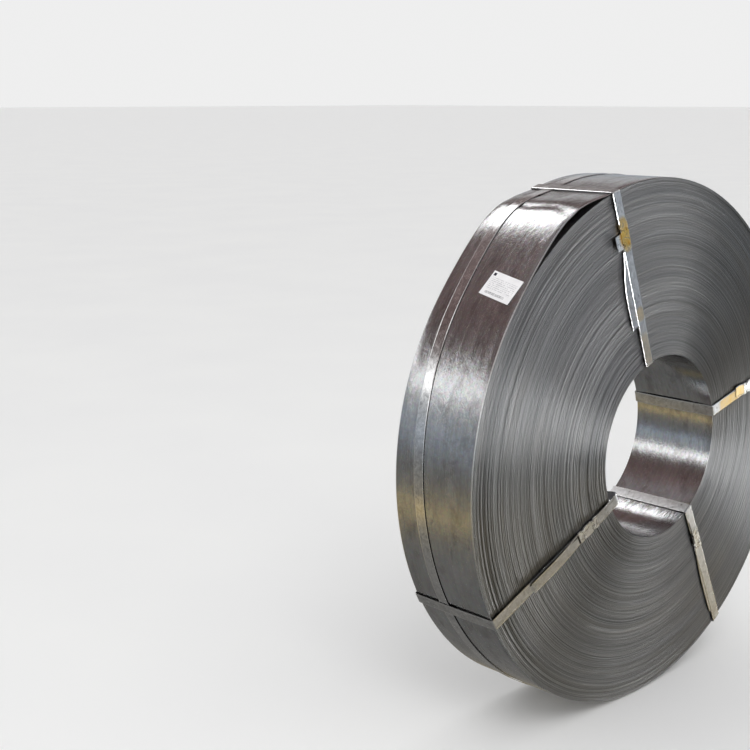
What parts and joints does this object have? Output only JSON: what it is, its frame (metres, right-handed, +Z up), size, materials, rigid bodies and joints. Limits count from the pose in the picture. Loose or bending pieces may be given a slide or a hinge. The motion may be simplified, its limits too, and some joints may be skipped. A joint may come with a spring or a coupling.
{
  "type": "strapped steel coil",
  "caption": "Slit coil of galvanised steel strip lying on its outer wrap, with slipped inner wraps, a loose outer wrap, eye and belly strapping with crimped seals, and a blank-barred label.",
  "frame": {"origin": "on the bore axis, at the middle of the outer wrap's width", "axes": "+Y along the bore axis, away from the near face with the seals, and +Z up as the coil lies on its outer wrap"},
  "size_m": [1.4721, 0.3092, 1.472],
  "materials": {
    "galvanised_strip": "bright galvanised, semi-gloss",
    "strapping": "dull zinc-coated steel",
    "seals": "dull zinc-coated steel",
    "label": "matt white paper"
  },
  "bodies": {
    "root": {"coil": "galvanised_strip", "eye_strap_top": "strapping", "eye_strap_right": "strapping", "eye_strap_lower_left": "strapping", "eye_strap_lower_right": "strapping", "eye_seal_top": "seals", "eye_seal_right": "seals", "eye_seal_lower_left": "seals", "eye_seal_lower_right": "seals", "belly_strap": "strapping", "belly_seal": "seals", "label": "label"}
  },
  "joints": []
}
